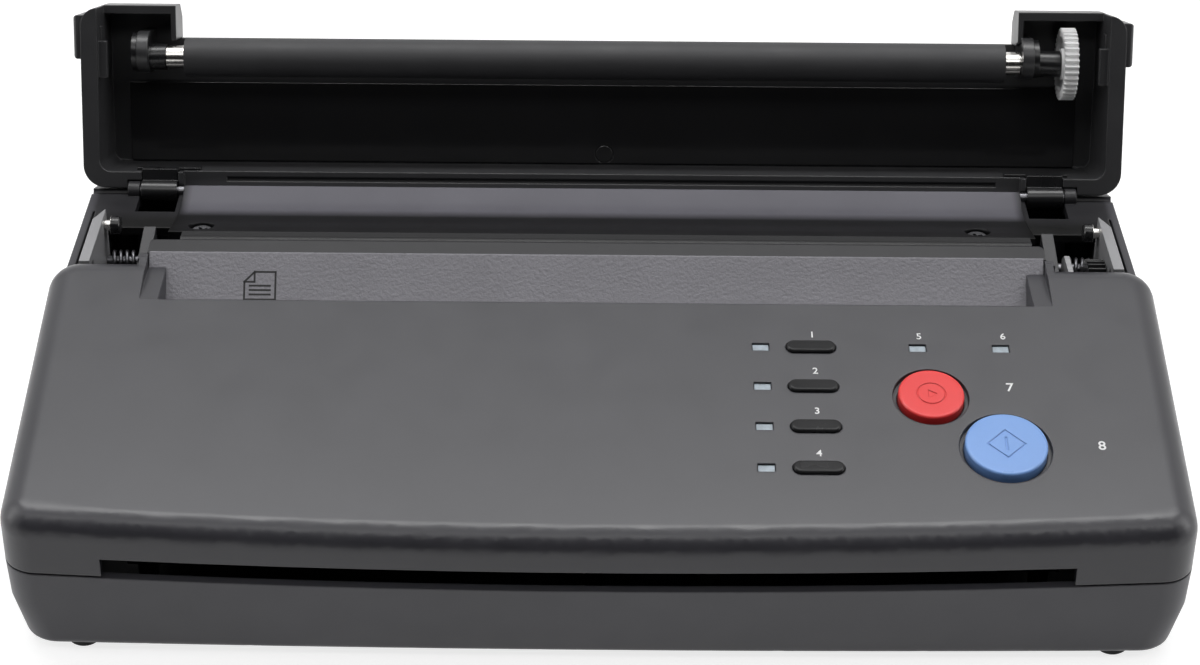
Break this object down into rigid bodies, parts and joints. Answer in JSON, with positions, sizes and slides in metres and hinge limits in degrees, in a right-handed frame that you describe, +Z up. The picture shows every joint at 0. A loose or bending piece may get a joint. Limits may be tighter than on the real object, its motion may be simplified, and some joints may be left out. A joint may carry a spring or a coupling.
{
  "type": "thermal stencil copier",
  "caption": "Desktop thermal copier for stencil paper: hinged lid with platen roller over a heated line head, sloping key panel, document feed ramp, front exit slot.",
  "frame": {"origin": "on the table, below the middle of the machine's overall box with the lid open", "axes": "+X to the operator's right, +Y to the back, +Z up"},
  "size_m": [0.2914, 0.1852, 0.0957],
  "materials": {
    "case_grey": "satin",
    "base_dark": "satin",
    "deck_grey": "satin",
    "lid_charcoal": "satin",
    "lid_gloss": "gloss",
    "ramp_grain": "grained",
    "black_plastic": "satin",
    "platen_rubber": "matt",
    "soft_rubber": "matt",
    "bright_steel": "bright",
    "plated_sheet": "zinc plated",
    "head_grey": "satin",
    "aluminium": "dark anodised",
    "ceramic": "glazed",
    "gear_white": "moulded",
    "glass": "clear",
    "latch_silver": "satin",
    "button_red": "gloss",
    "button_blue": "gloss",
    "button_black": "gloss",
    "lens": "frosted",
    "board_green": "solder mask",
    "chip_black": "moulded",
    "inlet_black": "moulded",
    "screw_steel": "blackened"
  },
  "bodies": {
    "base": {"lower_case": "base_dark", "front_cover": "case_grey", "rear_cover": "deck_grey", "feed_ramp": "ramp_grain", "document_guide": "black_plastic", "roller_bushes": "black_plastic", "roller_bracket": "plated_sheet", "gear_side_plate": "plated_sheet", "gear_studs": "screw_steel", "drive_motor": "plated_sheet", "scanner_bar": "chip_black", "scanner_glass": "glass", "head_frame": "head_grey", "head_springs": "bright_steel", "hinge_pins": "screw_steel", "latch_rods": "screw_steel", "latch_springs": "screw_steel", "power_panel": "inlet_black", "mains_inlet": "inlet_black", "inlet_pins": "bright_steel", "main_board": "board_green", "main_board_parts": "chip_black", "power_board": "board_green", "power_board_parts": "chip_black", "control_board": "board_green", "key_switches": "chip_black", "led_lenses": "lens", "feet": "soft_rubber", "case_screws": "screw_steel", "deck_screws": "screw_steel", "board_screws": "screw_steel"},
    "lid": {"lid_shell": "lid_charcoal", "lid_liner": "lid_gloss", "hinge_arm_left": "black_plastic", "hinge_arm_right": "black_plastic", "platen_bushes": "black_plastic"},
    "platen": {"platen_shaft": "bright_steel", "platen_rubber": "platen_rubber", "platen_gear": "gear_white"},
    "pad_left": {"release_pad_left": "lid_charcoal"},
    "pad_right": {"release_pad_right": "lid_charcoal"},
    "feed_roller": {"feed_roller_shaft": "bright_steel", "feed_roller_rubber": "soft_rubber", "feed_roller_gear": "black_plastic"},
    "idler": {"idler_gear": "black_plastic"},
    "driver": {"driver_gear": "black_plastic"},
    "pinion": {"motor_pinion": "bright_steel"},
    "print_head": {"head_carrier": "aluminium", "head_ceramic": "ceramic"},
    "catch_left": {"latch_left": "latch_silver", "latch_peg_left": "bright_steel"},
    "catch_right": {"latch_right": "latch_silver", "latch_peg_right": "bright_steel"},
    "stop_key": {"stop_button": "button_red"},
    "copy_key": {"copy_button": "button_blue"},
    "mode_key_1": {"oval_button_1": "button_black"},
    "mode_key_2": {"oval_button_2": "button_black"},
    "mode_key_3": {"oval_button_3": "button_black"},
    "mode_key_4": {"oval_button_4": "button_black"},
    "power_rocker": {"mains_rocker": "button_black"}
  },
  "joints": [
    {"name": "lid_hinge", "type": "hinge", "parent": "base", "child": "lid", "pos_m": [0, 0.05338, 0.049], "axis": [-1, 0, 0], "range_deg": [-111.5, 0]},
    {"name": "platen_spin", "type": "hinge", "parent": "lid", "child": "platen", "pos_m": [0, 0.07774, 0.0781], "axis": [1, 0, 0], "continuous": true},
    {"name": "pad_left_press", "type": "slide", "parent": "lid", "child": "pad_left", "axis": [1, 0, 0], "range_m": [0, 0.0022], "stiffness_N_per_m": 300},
    {"name": "pad_right_press", "type": "slide", "parent": "lid", "child": "pad_right", "axis": [-1, 0, 0], "range_m": [0, 0.0022], "stiffness_N_per_m": 300},
    {"name": "feed_roller_spin", "type": "hinge", "parent": "base", "child": "feed_roller", "pos_m": [0, -0.02122, 0.04604], "axis": [1, 0, 0], "continuous": true},
    {"name": "idler_spin", "type": "hinge", "parent": "base", "child": "idler", "pos_m": [0, -0.0064, 0.04156], "axis": [1, 0, 0], "continuous": true},
    {"name": "driver_spin", "type": "hinge", "parent": "base", "child": "driver", "pos_m": [0, 0.01198, 0.0448], "axis": [1, 0, 0], "continuous": true},
    {"name": "pinion_spin", "type": "hinge", "parent": "base", "child": "pinion", "pos_m": [0, -0.00989, 0.02756], "axis": [1, 0, 0], "continuous": true},
    {"name": "head_tilt", "type": "hinge", "parent": "base", "child": "print_head", "pos_m": [0, 0.03298, 0.0414], "axis": [1, 0, 0], "range_deg": [0, 2], "stiffness_Nm_per_rad": 4, "springref_deg": -1.15, "deforming": ["head_springs"]},
    {"name": "catch_left_slide", "type": "slide", "parent": "base", "child": "catch_left", "axis": [1, 0, 0], "range_m": [-0.0015, 0], "stiffness_N_per_m": 200},
    {"name": "catch_right_slide", "type": "slide", "parent": "base", "child": "catch_right", "axis": [-1, 0, 0], "range_m": [-0.0015, 0], "stiffness_N_per_m": 200},
    {"name": "stop_press", "type": "slide", "parent": "base", "child": "stop_key", "axis": [0, 0.225, -0.9744], "range_m": [0, 0.0008], "stiffness_N_per_m": 500, "springref_m": -0.0004},
    {"name": "copy_press", "type": "slide", "parent": "base", "child": "copy_key", "axis": [0, 0.225, -0.9744], "range_m": [0, 0.0008], "stiffness_N_per_m": 500, "springref_m": -0.0004},
    {"name": "mode_press_1", "type": "slide", "parent": "base", "child": "mode_key_1", "axis": [0, 0.225, -0.9744], "range_m": [0, 0.0008], "stiffness_N_per_m": 400, "springref_m": -0.0003},
    {"name": "mode_press_2", "type": "slide", "parent": "base", "child": "mode_key_2", "axis": [0, 0.225, -0.9744], "range_m": [0, 0.0008], "stiffness_N_per_m": 400, "springref_m": -0.0003},
    {"name": "mode_press_3", "type": "slide", "parent": "base", "child": "mode_key_3", "axis": [0, 0.225, -0.9744], "range_m": [0, 0.0008], "stiffness_N_per_m": 400, "springref_m": -0.0003},
    {"name": "mode_press_4", "type": "slide", "parent": "base", "child": "mode_key_4", "axis": [0, 0.225, -0.9744], "range_m": [0, 0.0008], "stiffness_N_per_m": 400, "springref_m": -0.0003},
    {"name": "power_rock", "type": "hinge", "parent": "base", "child": "power_rocker", "pos_m": [-0.062, 0.06588, 0.0255], "axis": [1, 0, 0], "range_deg": [-16, 0]}
  ],
  "couplings": [
    {"joint": "idler_spin", "follows": "feed_roller_spin", "ratio": -0.38095},
    {"joint": "driver_spin", "follows": "feed_roller_spin", "ratio": 0.57143},
    {"joint": "pinion_spin", "follows": "feed_roller_spin", "ratio": 1.3333}
  ]
}
